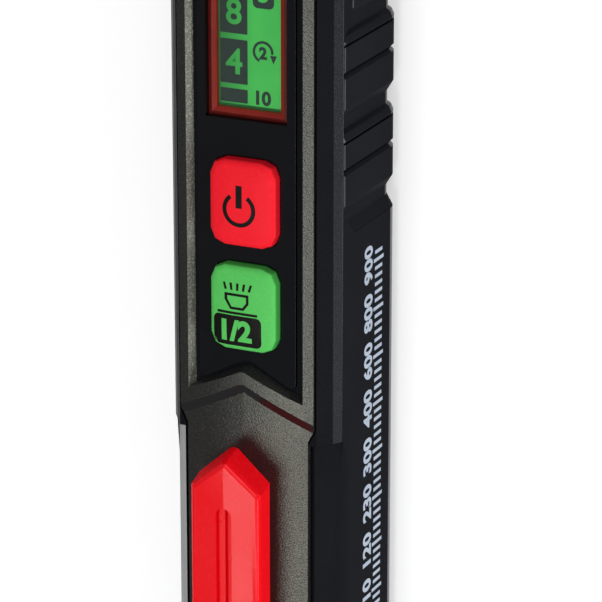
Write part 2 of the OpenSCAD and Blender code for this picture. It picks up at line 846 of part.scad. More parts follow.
// Pressed coil at the inner end of one cell, each turn a ring
module cell_springs() {
    y0 = cell_y0 + cell_l + fit;
    wire = 0.8;
    gap = (wall_y0 - 0.5 - y0 - wire) / 2;
    color("#c8cacc") for (i = [0:2]) translate([-cell_x, y0 + wire / 2 + i * gap, cell_z]) rotate([-90, 0, 0])
        rotate_extrude() translate([2.6 + i * 0.3, 0]) circle(d = wire, $fn = 16);
}

module cell_contacts() {
    color("#c8cacc") {
        block(-cell_x - 4, -cell_x + 4, wall_y0 - 0.5 + fit, wall_y0 - fit, cell_z - 4, cell_z + 4);
        block(cell_x - 4, cell_x + 4, wall_y0 - 0.5 + fit, wall_y0 - fit, cell_z - 4, cell_z + 4);
        rod_y(cell_x, cell_z, 4, cell_y0 + cell_l + fit, wall_y0 - 0.5 + 2 * fit);
    }
}

// Plate in the cap that joins the outer ends of both cells
module bridge_plate() {
    color("#c8cacc") block(-cell_x - 3.5, cell_x + 3.5, cell_y0 - 0.5 - fit, cell_y0 - fit, cell_z - 3, cell_z + 3);
}

// Pull-off cap: crowned outline with rounded end and two tongues
module tail_cap() {
    y1 = body_y0 - fit;
    color("#25272b") difference() {
        union() {
            intersection() {
                along_y(tail_y, y1)
                    crowned_outline(deck_half + lower_reveal, deck_half + lower_reveal + lower_facet_w,
                                    lower_edge_z - lower_facet_h, lower_side_z, step_drop);
                along_z(-1, body_h + 1) cap_plan(y1, 3);
                along_x(-half_w - 1, half_w + 1) cap_side(y1, 3);
            }
            for (z = [floor_t + slide_fit, bay_top_z - slide_fit - tongue_t])
                block(3 - bay_half, bay_half - 3, y1 - 3, y1 + tongue_l, z, z + tongue_t);
        }
        block(0.2 - bay_half, bay_half - 0.2, cell_y0 - 0.5 - 2 * fit, y1 + tongue_l + 1,
              floor_t + slide_fit + tongue_t, bay_top_z - slide_fit - tongue_t);
    }
}

// Cap seen from above
module cap_plan(y1, r) {
    translate([r - half_w, tail_y]) square([body_w - 2 * r, y1 - tail_y]);
    translate([-half_w, tail_y + r]) square([body_w, y1 - tail_y - r]);
    for (s = [-1, 1]) translate([s * (half_w - r), tail_y + r]) circle(r);
}

// Cap seen from the side
module cap_side(y1, r) {
    top = body_h - step_drop;
    translate([tail_y + r, 0]) square([y1 - tail_y - r, top]);
    translate([tail_y, r]) square([r + 1, top - 2 * r]);
    for (z = [r, top - r]) translate([tail_y + r, z]) circle(r);
}

// Roof-shaped clip with a pointed end and a grooved channel on its ridge
module pocket_clip() {
    drop = (clip_half - clip_edge_r) * tan(clip_slope);
    shoulder_z = clip_ridge_z - drop;
    color("#e51420") difference() {
        union() {
            intersection() {
                along_y(clip_y0, clip_tip_y + 1) clip_section(shoulder_z);
                along_x(-clip_half, clip_half) clip_side();
                clip_nose(clip_base_z, 0, 14);
                clip_nose(clip_ridge_z - 1.2, 0.76, 26);
            }
            block(-2.2, 2.2, clip_tip_y - 9, clip_tip_y - 5, body_h - step_drop + 0.5, clip_base_z + 1);
            block(-foot_half, foot_half, clip_y0 + 1, clip_y0 + 1 + foot_l, seat_z + 0.2, body_h + 1);
        }
        clip_channel();
        difference() {
            along_y(clip_y0 - 1, clip_bend_y + 4) intersection() {
                translate([0, body_h - step_drop - crown_r]) circle(crown_r + fit, $fn = 180);
                translate([-clip_half - 1, seat_z - 3]) square([clip_w + 2, 10]);
            }
            block(-foot_half, foot_half, clip_y0 + 1, clip_y0 + 1 + foot_l, seat_z - 5, body_h + 1);
        }
    }
}

// Half-roof with a rounded edge, mirrored
module clip_section(shoulder_z) {
    mirror_x() {
        polygon([[0, 0], [clip_half, 0], [clip_half, shoulder_z - clip_edge_r],
                 [clip_half - clip_edge_r, shoulder_z], [0, clip_ridge_z]]);
        translate([clip_half - clip_edge_r, shoulder_z - clip_edge_r]) circle(clip_edge_r);
    }
}

// Clip seen from the side
module clip_side() {
    deck_z = body_h - step_drop - 0.6;
    polygon([[clip_tip_y + 1, clip_base_z], [clip_tip_y + 1, clip_ridge_z], [clip_bend_y - 1, clip_ridge_z],
             [clip_bend_y - 4, clip_ridge_z - 0.9], [clip_y0 + 1, clip_ridge_z - 4.2], [clip_y0, clip_ridge_z - 5.6],
             [clip_y0, deck_z], [clip_bend_y - 2, deck_z], [clip_bend_y - 1.2, clip_base_z - 1.2],
             [clip_bend_y + 0.6, clip_base_z]]);
}

// Everything behind the leaning faces of the rounded point, which start at a height and a setback
module clip_nose(z, back, lean) {
    y = clip_tip_y - back - clip_point_r / cos(clip_point);
    intersection_for(i = [-2:2]) {
        turn = i * clip_point / 2;
        translate([0, y + clip_point_r / cos(turn), z]) rotate([0, 0, turn]) rotate([lean, 0, 0])
            translate([-big / 2, -big, -big / 2]) cube(big);
    }
}

// Channel with a fine rib down its middle
module clip_channel() {
    y1 = clip_tip_y - 8;
    y0 = clip_bend_y + 4;
    half = channel_w / 2;
    z = clip_ridge_z - channel_d;
    difference() {
        along_z(z, clip_ridge_z + 1) {
            translate([-half, y0]) square([channel_w, y1 - half - y0]);
            translate([0, y1 - half]) circle(half);
        }
        block(-0.17, 0.17, y0 - 1, y1 + 1, z - 1, z + channel_rib_h);
    }
}

// Screws from the back into the cover's posts
module case_screws() {
    z = screw_head_depth;
    color("#8a8d92") post_places() {
        difference() {
            translate([0, 0, z - screw_head_h]) cylinder(d = screw_head_d, h = screw_head_h);
            translate([0, 0, z - screw_head_h - 1]) cylinder(d = 1.6, h = 1.8, $fn = 6);
        }
        translate([0, 0, z - eps]) cylinder(d = screw_d - 0.4, h = 10);
    }
}

body_shell();
front_cover();
left_grip();
right_grip();
display_panel();
display_window();
display_frame();
lcd_module();
backlight_plate();
lcd_connector();
circuit_board();
power_button();
light_button();
power_switch();
light_switch();
power_plunger();
light_plunger();
buzzer();
indicator_led();
nose_housing();
indicator_ring();
nose_cone();
probe_tip();
sensor_antenna();
torch_lens();
torch_led();
left_cell();
right_cell();
cell_springs();
cell_contacts();
bridge_plate();
tail_cap();
pocket_clip();
case_screws();
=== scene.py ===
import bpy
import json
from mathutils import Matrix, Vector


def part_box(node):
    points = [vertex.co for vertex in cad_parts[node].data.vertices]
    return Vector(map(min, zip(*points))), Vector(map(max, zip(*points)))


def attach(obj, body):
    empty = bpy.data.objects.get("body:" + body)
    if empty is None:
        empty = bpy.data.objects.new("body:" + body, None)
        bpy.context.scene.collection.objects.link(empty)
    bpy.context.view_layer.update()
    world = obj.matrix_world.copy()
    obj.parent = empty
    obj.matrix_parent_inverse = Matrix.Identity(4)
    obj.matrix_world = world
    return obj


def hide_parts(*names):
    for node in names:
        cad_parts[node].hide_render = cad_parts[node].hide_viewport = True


bl_info = {
    "name": "Voltage tester looks",
    "version": (1, 0, 0),
    "blender": (4, 5, 0),
    "location": "View3D > Sidebar > Tester",
    "description": "Finishes the packed voltage tester: moulded plastics, display, keys, print and studio",
    "category": "Object",
}

import json
import math

import bmesh
import bpy
from bpy.props import FloatProperty, FloatVectorProperty, IntProperty, PointerProperty
from mathutils import Matrix, Vector
from mathutils.bvhtree import BVHTree

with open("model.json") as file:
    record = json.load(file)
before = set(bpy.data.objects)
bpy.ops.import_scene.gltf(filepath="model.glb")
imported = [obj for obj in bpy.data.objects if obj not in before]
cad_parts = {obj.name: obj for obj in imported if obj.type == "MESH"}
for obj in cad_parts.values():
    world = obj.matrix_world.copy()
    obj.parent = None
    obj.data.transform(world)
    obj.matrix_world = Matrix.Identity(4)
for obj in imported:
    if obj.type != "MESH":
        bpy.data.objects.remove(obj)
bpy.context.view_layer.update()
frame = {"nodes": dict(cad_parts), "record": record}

# Lengths are in metres, and MM turns millimetres into them
MM = 0.001
IMAGE_SIDE = 602
# Points closer than this are one point
WELD = 1e-7
# Most values of a noise texture lie between these two
NOISE_LOW = 0.3
NOISE_HIGH = 0.7
# Soft patterns in patches per metre: about 11, 6, 4.5 and 3 mm across
WORN_PATCHES = 90.0
DUST_CLOUDS = 160.0
ACRYLIC_HAZE = 220.0
FILM_MOTTLE = 350.0


def linear(code):
    """Linear RGBA of an sRGB hex colour."""
    parts = [int(code[i : i + 2], 16) / 255 for i in (1, 3, 5)]
    return tuple(c / 12.92 if c <= 0.04045 else ((c + 0.055) / 1.055) ** 2.4 for c in parts) + (1.0,)


def add(tree, kind, inputs=None, **settings):
    """Adds a node with its settings, input values and incoming links."""
    item = tree.nodes.new(kind)
    for key, value in settings.items():
        setattr(item, key, value)
    for key, value in (inputs or {}).items():
        if isinstance(value, bpy.types.NodeSocket):
            tree.links.new(value, item.inputs[key])
        else:
            item.inputs[key].default_value = value
    return item


def blank_material(name):
    """A new node material with no nodes but one, its tree and that node's Object coordinates."""
    material = bpy.data.materials.new(name)
    material.use_nodes = True
    tree = material.node_tree
    tree.nodes.clear()
    return material, tree, add(tree, "ShaderNodeTexCoord").outputs["Object"]


def moulded(name, base, fleck, grain, relief, roughness, specular=0.5, fleck_share=0.5, tint="#ffffff"):
    """Moulded plastic with a grain in its surface, a little lighter on the tops of the grain."""
    uneven = 0.04
    material, tree, place = blank_material(name)
    grains = add(tree, "ShaderNodeTexNoise", {
        "Vector": place, "Scale": 1 / grain, "Detail": 2.0, "Roughness": 0.6})
    tops = add(tree, "ShaderNodeMapRange", {
        "Value": grains.outputs["Fac"], "From Min": 0.5, "From Max": 0.68, "To Max": fleck_share})
    patches = add(tree, "ShaderNodeTexNoise", {"Vector": place, "Scale": WORN_PATCHES, "Detail": 3.0})
    wear = add(tree, "ShaderNodeMapRange", {
        "Value": patches.outputs["Fac"], "From Min": NOISE_LOW, "From Max": NOISE_HIGH,
        "To Min": roughness - uneven, "To Max": roughness + uneven})
    colour = add(tree, "ShaderNodeMix", {0: tops.outputs[0], 6: base, 7: fleck}, data_type="RGBA")
    bump = add(tree, "ShaderNodeBump", {
        "Height": grains.outputs["Fac"], "Strength": 1.0, "Distance": relief})
    shader = add(tree, "ShaderNodeBsdfPrincipled", {
        "Base Color": colour.outputs[2], "Roughness": wear.outputs[0],
        "Specular IOR Level": specular, "Specular Tint": linear(tint), "Normal": bump.outputs[0]})
    add(tree, "ShaderNodeOutputMaterial", {"Surface": shader.outputs[0]})
    return material


def polished(name, base, dust, roughness, specular=0.5, coat=0.0):
    """Smooth moulded or painted surface with faint uneven gloss."""
    material, tree, place = blank_material(name)
    cloud = add(tree, "ShaderNodeTexNoise", {"Vector": place, "Scale": DUST_CLOUDS, "Detail": 4.0})
    tint = add(tree, "ShaderNodeMapRange", {
        "Value": cloud.outputs["Fac"], "From Min": 0.45, "From Max": 0.8, "To Max": 0.5})
    colour = add(tree, "ShaderNodeMix", {0: tint.outputs[0], 6: base, 7: dust}, data_type="RGBA")
    gloss = add(tree, "ShaderNodeMapRange", {
        "Value": cloud.outputs["Fac"], "From Min": NOISE_LOW, "From Max": NOISE_HIGH,
        "To Min": roughness * 0.85, "To Max": roughness * 1.15})
    shader = add(tree, "ShaderNodeBsdfPrincipled", {
        "Base Color": colour.outputs[2], "Roughness": gloss.outputs[0],
        "Specular IOR Level": specular, "Coat Weight": coat, "Coat Roughness": 0.05})
    add(tree, "ShaderNodeOutputMaterial", {"Surface": shader.outputs[0]})
    return material


def metal(name, base, roughness, streak):
    """Plated sheet or wire with fine rolling marks, drawn out along the pen."""
    drawn_out = 0.06
    material, tree, place = blank_material(name)
    along = add(tree, "ShaderNodeMapping", {"Vector": place, "Scale": (1.0, drawn_out, 1.0)})
    marks = add(tree, "ShaderNodeTexNoise", {"Vector": along.outputs[0], "Scale": 1 / streak, "Detail": 3.0})
    gloss = add(tree, "ShaderNodeMapRange", {
        "Value": marks.outputs["Fac"], "From Min": NOISE_LOW, "From Max": NOISE_HIGH,
        "To Min": roughness * 0.7, "To Max": roughness * 1.3})
    bump = add(tree, "ShaderNodeBump", {
        "Height": marks.outputs["Fac"], "Strength": 0.3, "Distance": 0.01 * MM})
    shader = add(tree, "ShaderNodeBsdfPrincipled", {
        "Base Color": base, "Metallic": 1.0, "Roughness": gloss.outputs[0], "Normal": bump.outputs[0]})
    add(tree, "ShaderNodeOutputMaterial", {"Surface": shader.outputs[0]})
    return material


def clear_acrylic(name, tint, base, roughness, body):
    """Clear moulding: what is behind shows through, under a reflection that grows at a glance."""
    head_on = 0.04
    material, tree, place = blank_material(name)
    haze = add(tree, "ShaderNodeTexNoise", {"Vector": place, "Scale": ACRYLIC_HAZE, "Detail": 3.0})
    gloss = add(tree, "ShaderNodeMapRange", {
        "Value": haze.outputs["Fac"], "From Min": NOISE_LOW, "From Max": NOISE_HIGH,
        "To Min": roughness * 0.8, "To Max": roughness * 1.2})
    facing = add(tree, "ShaderNodeLayerWeight", {"Blend": 0.5})
    glance = add(tree, "ShaderNodeMath", {0: facing.outputs["Facing"], 1: 5.0}, operation="POWER")
    share = add(tree, "ShaderNodeMapRange", {
        "Value": glance.outputs[0], "To Min": head_on + body, "To Max": 1.0})
    through = add(tree, "ShaderNodeBsdfTransparent", {"Color": tint})
    shader = add(tree, "ShaderNodeBsdfPrincipled", {
        "Base Color": base, "Roughness": gloss.outputs[0], "Specular IOR Level": 0.5})
    mix = add(tree, "ShaderNodeMixShader", {
        0: share.outputs[0], 1: through.outputs[0], 2: shader.outputs[0]})
    add(tree, "ShaderNodeOutputMaterial", {"Surface": mix.outputs[0]})
    return material


def glowing(name, base, strength, roughness, mottle, painted_shade=None):
    """Backlit film, also used for painted glows: its own colour with a soft glow, which may fall off to a
    darker colour on the left as painted shade.
    """
    dimmest, fully_lit = -4.5 * MM, 0.5 * MM
    material, tree, place = blank_material(name)
    cloud = add(tree, "ShaderNodeTexNoise", {"Vector": place, "Scale": FILM_MOTTLE, "Detail": 2.0})
    amount = add(tree, "ShaderNodeMapRange", {
        "Value": cloud.outputs["Fac"], "From Min": NOISE_LOW, "From Max": NOISE_HIGH, "To Max": 1.0})
    colour = add(tree, "ShaderNodeMix", {0: amount.outputs[0], 6: base, 7: mottle}, data_type="RGBA")
    if painted_shade:
        across = add(tree, "ShaderNodeSeparateXYZ", {0: place})
        share = add(tree, "ShaderNodeMapRange", {
            "Value": across.outputs["X"], "From Min": dimmest, "From Max": fully_lit,
            "To Min": 1.0, "To Max": 0.0})
        colour = add(tree, "ShaderNodeMix", {
            0: share.outputs[0], 6: colour.outputs[2], 7: painted_shade}, data_type="RGBA")
    shader = add(tree, "ShaderNodeBsdfPrincipled", {
        "Base Color": colour.outputs[2], "Roughness": roughness,
        "Emission Color": colour.outputs[2], "Emission Strength": strength})
    add(tree, "ShaderNodeOutputMaterial", {"Surface": shader.outputs[0]})
    return material


def dress(node, material):
    """Gives a CAD node its finish."""
    item = frame["nodes"][node]
    if not item.material_slots:
        item.data.materials.append(material)
    for slot in item.material_slots:
        slot.material = material


def body_of_node(node):
    """Name of the CAD body that carries a node."""
    for body, nodes in frame["record"]["behaviour"]["bodies"].items():
        if node in nodes:
            return body
    raise RuntimeError(f"no body carries {node}")


def link(name, data):
    """A new object for a mesh, curve, lamp or camera, in the scene."""
    item = bpy.data.objects.new(name, data)
    bpy.context.scene.collection.objects.link(item)
    return item


def evaluated_mesh(item):
    """The finished mesh of an object with its modifiers, as plain data."""
    graph = bpy.context.evaluated_depsgraph_get()
    return bpy.data.meshes.new_from_object(
        item.evaluated_get(graph), preserve_all_data_layers=True, depsgraph=graph)


def shade_by_area(mesh, angle):
    """Smooths the shading across gentle edges and keeps the large faces plane."""
    limit = math.cos(math.radians(angle))
    around = [[] for _ in mesh.vertices]
    for face in mesh.polygons:
        for index in face.vertices:
            around[index].append(face)
    normals = []
    for face in mesh.polygons:
        for index in face.vertices:
            total = Vector()
            for other in around[index]:
                if other.normal.dot(face.normal) > limit:
                    total += other.normal * other.area
            normals.append(total.normalized())
    mesh.shade_smooth()
    mesh.normals_split_custom_set(normals)


def softened(node, name, width, material, segments=2, angle=32.0, solid_faces=False, wanted=None):
    """A copy of a CAD node with rounded moulding edges, standing for that node.

    Where a test of an edge's middle (mm) and direction is given, only the edges that pass it are rounded."""
    flat_within = math.radians(0.6)
    sharp = math.radians(angle)
    shape = bmesh.new()
    shape.from_mesh(frame["nodes"][node].data)
    bmesh.ops.remove_doubles(shape, verts=shape.verts, dist=WELD)
    if solid_faces:
        bmesh.ops.dissolve_limit(shape, angle_limit=flat_within, verts=shape.verts, edges=shape.edges)
    if wanted:
        weight = shape.edges.layers.float.new("bevel_weight_edge")
        for edge in shape.edges:
            ends = [vert.co for vert in edge.verts]
            middle = (ends[0] + ends[1]) / 2 / MM
            way = (ends[1] - ends[0]).normalized()
            if edge.calc_face_angle(0.0) > sharp and wanted(middle, way):
                edge[weight] = 1.0
    mesh = bpy.data.meshes.new(name)
    shape.to_mesh(mesh)
    shape.free()
    mesh.shade_smooth()
    draft = link(name + "_draft", mesh)
    bevel = draft.modifiers.new("rounding", "BEVEL")
    bevel.width = width
    bevel.segments = segments
    bevel.limit_method = "WEIGHT" if wanted else "ANGLE"
    bevel.angle_limit = sharp
    bevel.use_clamp_overlap = not wanted
    item = link(name, evaluated_mesh(draft))
    bpy.data.objects.remove(draft)
    shade_by_area(item.data, angle)
    item.data.materials.clear()
    item.data.materials.append(material)
    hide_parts(node)
    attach(item, body_of_node(node))
    return item


def finish_faces(item, material, wanted):
    """Gives the faces of a piece that pass a test of centre (mm), normal and area (mm2) another finish."""
    finishes = item.data.materials
    if material.name not in finishes:
        finishes.append(material)
    index = finishes.find(material.name)
    for face in item.data.polygons:
        if wanted(face.center / MM, face.normal, face.area / MM ** 2):
            face.material_index = index


def place_on(mesh, matrix):
    """Bakes a placement into a mesh, so that its object stays at the origin."""
    mesh.transform(matrix)
    mesh.update()


def flat_shape(outlines, thickness):
    """Mesh of flat outlines given in millimetres as (x, y) lists; an outline inside another is a hole."""
    curve = bpy.data.curves.new("outline", "CURVE")
    curve.dimensions = "2D"
    curve.fill_mode = "BOTH"
    curve.extrude = thickness / 2
    for outline in outlines:
        spline = curve.splines.new("POLY")
        spline.points.add(len(outline) - 1)
        for point, (x, y) in zip(spline.points, outline):
            point.co = (x * MM, y * MM, 0.0, 1.0)
        spline.use_cyclic_u = True
    draft = link("outline", curve)
    mesh = evaluated_mesh(draft)
    bpy.data.objects.remove(draft)
    return mesh


def digits_mesh(words, height, weight, thickness, spread=1.0):
    """Mesh of plain numerals, centred, with a given height."""
    curve = bpy.data.curves.new("numerals", "FONT")
    curve.body = words
    curve.size = height
    curve.offset = weight
    curve.extrude = thickness / 2
    curve.resolution_u = 6
    curve.space_character = spread
    draft = link("numerals", curve)
    mesh = evaluated_mesh(draft)
    bpy.data.objects.remove(draft)
    xs = [v.co.x for v in mesh.vertices]
    ys = [v.co.y for v in mesh.vertices]
    scale = height / (max(ys) - min(ys))
    middle = Vector(((max(xs) + min(xs)) / 2, (max(ys) + min(ys)) / 2, 0))
    place_on(mesh, Matrix.Diagonal((scale, scale, 1, 1)) @ Matrix.Translation(-middle))
    return mesh


def rounded_box(x0, y0, x1, y1, r):
    """Outline of a rounded rectangle."""
    steps = 5
    corners = ((x1 - r, y1 - r, 0), (x0 + r, y1 - r, 90), (x0 + r, y0 + r, 180), (x1 - r, y0 + r, 270))
    points = []
    for cx, cy, start in corners:
        for i in range(steps + 1):
            a = math.radians(start + 90 * i / steps)
            points.append((cx + r * math.cos(a), cy + r * math.sin(a)))
    return points


def arc_band(cx, cy, outer, inner, start, end, steps):
    """Outline of an open ring between two angles in degrees."""
    angles = [math.radians(start + (end - start) * i / steps) for i in range(steps + 1)]
    points = [(cx + outer * math.cos(a), cy + outer * math.sin(a)) for a in angles]
    return points + [(cx + inner * math.cos(a), cy + inner * math.sin(a)) for a in reversed(angles)]


def bar(x0, y0, x1, y1, width):
    """Outline of a straight bar between two points."""
    along = Vector((x1 - x0, y1 - y0)).normalized() * width / 2
    side = Vector((-along.y, along.x))
    return [(x0 + side.x, y0 + side.y), (x0 - side.x, y0 - side.y),
            (x1 - side.x, y1 - side.y), (x1 + side.x, y1 + side.y)]


def numerals(rows, depth, level):
    """Flat numerals at a level, given as (text, x, y, height, weight) in millimetres."""
    meshes = []
    for words, x, y, height, weight in rows:
        mesh = digits_mesh(words, height * MM, weight * MM, depth)
        place_on(mesh, Matrix.Translation((x * MM, y * MM, level)))
        meshes.append(mesh)
    return meshes


def laid(name, meshes, material, body):
    """Joins meshes into one printed piece on a body."""
    shape = bmesh.new()
    for mesh in meshes:
        shape.from_mesh(mesh)
    bmesh.ops.remove_doubles(shape, verts=shape.verts, dist=WELD)
    bmesh.ops.recalc_face_normals(shape, faces=shape.faces)
    mesh = bpy.data.meshes.new(name)
    shape.to_mesh(mesh)
    shape.free()
    item = link(name, mesh)
    item.data.materials.append(material)
    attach(item, body)
    return item


def drape(mesh, node, lift):
    """Lowers a flat mesh onto the top of a CAD node, keeping its thickness."""
    longest = 0.6 * MM
    halvings = 4
    above_all = 1.0
    fine = bmesh.new()
    fine.from_mesh(mesh)
    bmesh.ops.triangulate(fine, faces=fine.faces)
    for _ in range(halvings):
        long_edges = [edge for edge in fine.edges if edge.calc_length() > longest]
        if not long_edges:
            break
        bmesh.ops.subdivide_edges(fine, edges=long_edges, cuts=1)
        bmesh.ops.triangulate(fine, faces=fine.faces)
    fine.to_mesh(mesh)
    fine.free()
    shape = bmesh.new()
    shape.from_mesh(frame["nodes"][node].data)
    tree = BVHTree.FromBMesh(shape)
    for vertex in mesh.vertices:
        hit = tree.ray_cast(Vector((vertex.co.x, vertex.co.y, above_all)), Vector((0, 0, -1)))
        if hit[0] is None:
            raise RuntimeError(f"a mark lies beyond {node}")
        vertex.co.z += hit[0].z + lift
    shape.free()


def node_group(name, sockets):
    """A geometry node tree with named inputs and one geometry output."""
    tree = bpy.data.node_groups.new(name, "GeometryNodeTree")
    for label, kind, value in sockets:
        socket = tree.interface.new_socket(name=label, in_out="INPUT", socket_type=kind)
        socket.default_value = value
    tree.interface.new_socket(name="Geometry", in_out="OUTPUT", socket_type="NodeSocketGeometry")
    return tree, add(tree, "NodeGroupInput").outputs


def grown(tree, values):
    """Plain mesh of a geometry node tree with its inputs set."""
    holder = link("holder", bpy.data.meshes.new("holder"))
    modifier = holder.modifiers.new("growth", "NODES")
    modifier.node_group = tree
    for socket in tree.interface.items_tree:
        if socket.in_out == "INPUT" and socket.name in values:
            modifier[socket.identifier] = values[socket.name]
    mesh = evaluated_mesh(holder)
    holder.modifiers.remove(modifier)
    bpy.data.objects.remove(holder)
    return mesh


def ended(tree, shape, material):
    """Ends a geometry node tree with real geometry in one material, and returns the tree."""
    real = add(tree, "GeometryNodeRealizeInstances", {"Geometry": shape.outputs[0]})
    skin = add(tree, "GeometryNodeSetMaterial", {"Geometry": real.outputs[0], "Material": material})
    add(tree, "NodeGroupOutput", {"Geometry": skin.outputs[0]})
    return tree


def ticks_tree(material):
    """Row of upright ticks, every so many of them taller."""
    tree, given = node_group("scale_ticks", (
        ("Count", "NodeSocketInt", 30), ("Pitch", "NodeSocketFloat", 1.75 * MM),
        ("Width", "NodeSocketFloat", 0.5 * MM), ("Height", "NodeSocketFloat", 2.7 * MM),
        ("Short", "NodeSocketFloat", 0.6), ("Every", "NodeSocketInt", 5),
        ("Depth", "NodeSocketFloat", 0.03 * MM)))
    step = add(tree, "ShaderNodeCombineXYZ", {"X": given["Pitch"]})
    row = add(tree, "GeometryNodeMeshLine", {"Count": given["Count"], "Offset": step.outputs[0]})
    size = add(tree, "ShaderNodeCombineXYZ", {
        "X": given["Width"], "Y": given["Height"], "Z": given["Depth"]})
    tick = add(tree, "GeometryNodeMeshCube", {"Size": size.outputs[0]})
    index = add(tree, "GeometryNodeInputIndex")
    rest = add(tree, "ShaderNodeMath", {0: index.outputs[0], 1: given["Every"]}, operation="MODULO")
    tall = add(tree, "ShaderNodeMath", {0: rest.outputs[0], 1: 0.5}, operation="LESS_THAN")
    gain = add(tree, "ShaderNodeMapRange", {
        "Value": tall.outputs[0], "To Min": given["Short"], "To Max": 1.0})
    scale = add(tree, "ShaderNodeCombineXYZ", {"X": 1.0, "Y": gain.outputs[0], "Z": 1.0})
    copies = add(tree, "GeometryNodeInstanceOnPoints", {
        "Points": row.outputs[0], "Instance": tick.outputs[0], "Scale": scale.outputs[0]})
    return ended(tree, copies, material)


def rays_tree(material):
    """Fan of short rays above the lamp mark, each turned to point away from one centre."""
    tree, given = node_group("lamp_rays", (
        ("Count", "NodeSocketInt", 5), ("Span", "NodeSocketFloat", 4.0 * MM),
        ("Width", "NodeSocketFloat", 0.3 * MM), ("Length", "NodeSocketFloat", 1.1 * MM),
        ("Lean", "NodeSocketFloat", 0.35), ("Depth", "NodeSocketFloat", 0.03 * MM)))
    half = add(tree, "ShaderNodeMath", {0: given["Span"], 1: -0.5}, operation="MULTIPLY")
    start = add(tree, "ShaderNodeCombineXYZ", {"X": half.outputs[0]})
    gaps = add(tree, "ShaderNodeMath", {0: given["Count"], 1: 1.0}, operation="SUBTRACT")
    pitch = add(tree, "ShaderNodeMath", {0: given["Span"], 1: gaps.outputs[0]}, operation="DIVIDE")
    step = add(tree, "ShaderNodeCombineXYZ", {"X": pitch.outputs[0]})
    row = add(tree, "GeometryNodeMeshLine", {
        "Count": given["Count"], "Start Location": start.outputs[0], "Offset": step.outputs[0]})
    size = add(tree, "ShaderNodeCombineXYZ", {
        "X": given["Width"], "Y": given["Length"], "Z": given["Depth"]})
    ray = add(tree, "GeometryNodeMeshCube", {"Size": size.outputs[0]})
    where = add(tree, "GeometryNodeInputPosition")
    split = add(tree, "ShaderNodeSeparateXYZ", {0: where.outputs[0]})
    share = add(tree, "ShaderNodeMath", {0: split.outputs[0], 1: half.outputs[0]}, operation="DIVIDE")
    lean = add(tree, "ShaderNodeMath", {0: share.outputs[0], 1: given["Lean"]}, operation="MULTIPLY")
    turn = add(tree, "ShaderNodeCombineXYZ", {"Z": lean.outputs[0]})
    copies = add(tree, "GeometryNodeInstanceOnPoints", {
        "Points": row.outputs[0], "Instance": ray.outputs[0], "Rotation": turn.outputs[0]})
    return ended(tree, copies, material)


def coil_tree(material):
    """Wound wire spring along Z, wider at its far end."""
    tree, given = node_group("cell_coil", (
        ("Turns", "NodeSocketFloat", 3.0), ("Start Radius", "NodeSocketFloat", 2.6 * MM),
        ("End Radius", "NodeSocketFloat", 3.2 * MM), ("Length", "NodeSocketFloat", 1.0 * MM),
        ("Wire", "NodeSocketFloat", 0.7 * MM)))
    path = add(tree, "GeometryNodeCurveSpiral", {
        "Resolution": 40, "Rotations": given["Turns"], "Start Radius": given["Start Radius"],
        "End Radius": given["End Radius"], "Height": given["Length"]})
    radius = add(tree, "ShaderNodeMath", {0: given["Wire"], 1: 0.5}, operation="MULTIPLY")
    ring = add(tree, "GeometryNodeCurvePrimitiveCircle", {"Resolution": 10, "Radius": radius.outputs[0]})
    wire = add(tree, "GeometryNodeCurveToMesh", {
        "Curve": path.outputs[0], "Profile Curve": ring.outputs[0], "Fill Caps": True})
    return ended(tree, wire, material)


# What every length and every colour of the panels has in common
LENGTH = {"min": 0.0, "unit": "LENGTH", "precision": 5}
COLOUR = {"subtype": "COLOR", "size": 4, "min": 0, "max": 1}


class TesterSizes(bpy.types.PropertyGroup):
    """Sizes of the finishing work."""

    shell_edge: FloatProperty(
        name="Shell edge", description="Rounding of the shell's moulded edges", default=0.18 * MM, **LENGTH)
    cover_edge: FloatProperty(
        name="Cover edge", description="Rounding of the front cover's crisp edges",
        default=0.12 * MM, **LENGTH)
    clip_edge: FloatProperty(
        name="Clip edge", description="Rounding of the edges round the clip's head",
        default=0.5 * MM, **LENGTH)
    shell_grain: FloatProperty(
        name="Shell grain", description="Grain of the spark-eroded texture, drawn coarse so that it shows",
        default=0.24 * MM, min=0.1 * MM, unit="LENGTH", precision=5)
    print_depth: FloatProperty(
        name="Print depth", description="Thickness of printed marks", default=0.03 * MM, **LENGTH)
    number_height: FloatProperty(
        name="Number height", description="Height of the numbers on the side", default=2.7 * MM, **LENGTH)
    tick_count: IntProperty(
        name="Ticks", description="Number of ticks on the side scale", default=56, min=2)
    tick_pitch: FloatProperty(
        name="Tick pitch", description="Distance between ticks on the side scale",
        default=1.15 * MM, **LENGTH)


class TesterColours(bpy.types.PropertyGroup):
    """Colours of the finishes."""

    shell: FloatVectorProperty(
        name="Shell", description="Textured shell and cover", default=linear("#222222"), **COLOUR)
    side: FloatVectorProperty(
        name="Side", description="Smooth matt sides of the shell", default=linear("#17181c"), **COLOUR)
    grip: FloatVectorProperty(
        name="Grips", description="Soft side grips", default=linear("#15161a"), **COLOUR)
    panel: FloatVectorProperty(
        name="Panel", description="Glossy display panel", default=linear("#0c0d10"), **COLOUR)
    power_key: FloatVectorProperty(
        name="Power key", description="Red key", default=linear("#ee1c2a"), **COLOUR)
    light_key: FloatVectorProperty(
        name="Light key", description="Green key", default=linear("#55bf5a"), **COLOUR)
    clip: FloatVectorProperty(
        name="Clip", description="Red pocket clip", default=linear("#ea0b17"), **COLOUR)
    display: FloatVectorProperty(
        name="Display", description="Lit display film", default=linear("#45bd54"), **COLOUR)
    print_ink: FloatVectorProperty(
        name="Print", description="Ink of the side scale", default=linear("#aebaca"), **COLOUR)


